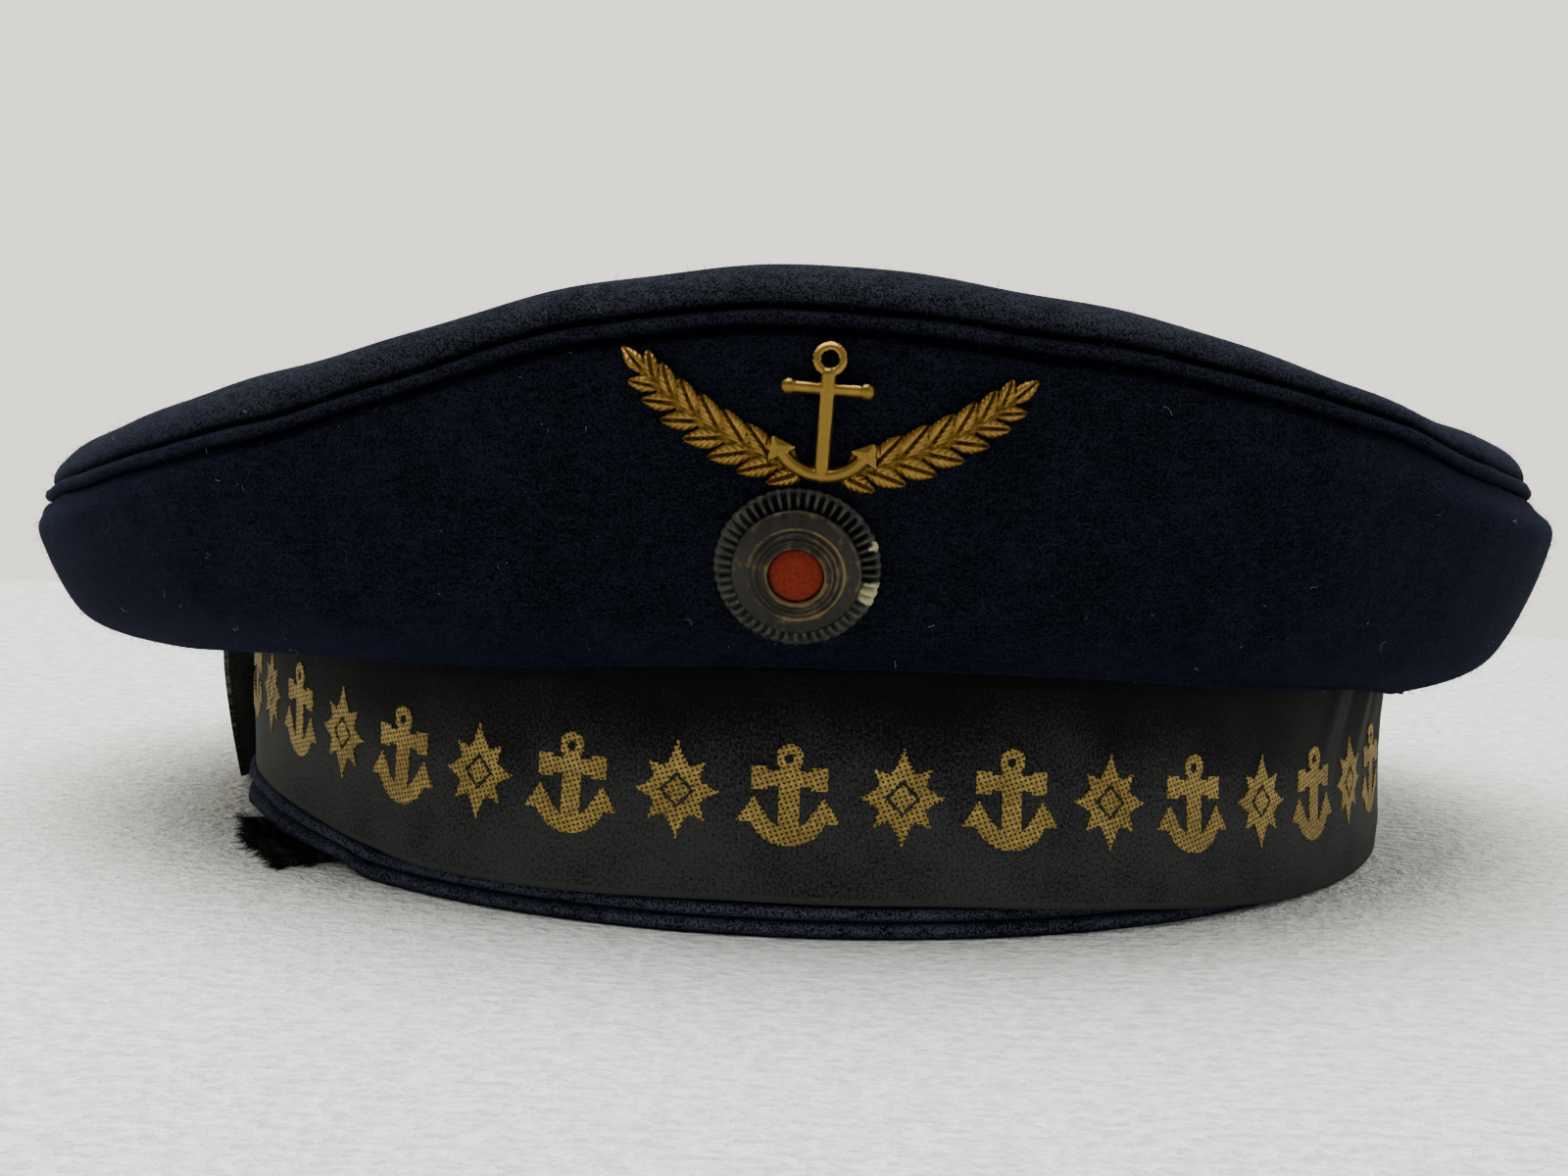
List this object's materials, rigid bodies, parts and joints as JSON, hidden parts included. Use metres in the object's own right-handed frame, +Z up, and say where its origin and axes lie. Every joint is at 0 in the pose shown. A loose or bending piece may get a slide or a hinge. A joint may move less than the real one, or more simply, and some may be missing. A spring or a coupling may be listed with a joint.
{
  "type": "sailor cap",
  "caption": "Navy wool sailor cap with a wide soft crown, piped rim, black cap ribbon, gilt anchor badge and a pleated cockade with a red centre.",
  "frame": {"origin": "middle of the whole cap's footprint, on the floor under its welt", "axes": "+Z up out of the crown; the cap's front, with badge and cockade, faces -Y; +X is on the right seen from the front"},
  "size_m": [0.2315, 0.2434, 0.0866],
  "materials": {
    "navy_wool": "felted wool, matt, with a fine nap",
    "navy_wool_top": "felted wool, matt, slightly rubbed",
    "navy_piping": "rolled wool, matt",
    "headband_wool": "wool over a stiff band, matt",
    "welt_wool": "rolled wool, matt, a little worn",
    "black_ribbon": "woven ribbon, matt, with gilt thread",
    "black_tail": "woven ribbon, matt",
    "frayed_tail": "woven ribbon, matt, frayed end",
    "gilt_brass": "stamped and gilt, satin",
    "tarnished_disc": "painted metal, tarnished",
    "worn_boss": "worn metal, satin",
    "red_cloth": "red felt, matt"
  },
  "bodies": {
    "root": {"crown_side": "navy_wool", "crown_top": "navy_wool_top", "rim_piping": "navy_piping", "headband": "headband_wool", "lower_welt": "welt_wool", "cap_ribbon": "black_ribbon", "ribbon_tail_hanging": "black_tail", "ribbon_tail_lying": "frayed_tail", "cap_badge": "gilt_brass", "cockade_disc": "tarnished_disc", "cockade_boss": "worn_boss", "cockade_centre": "red_cloth"}
  },
  "joints": []
}
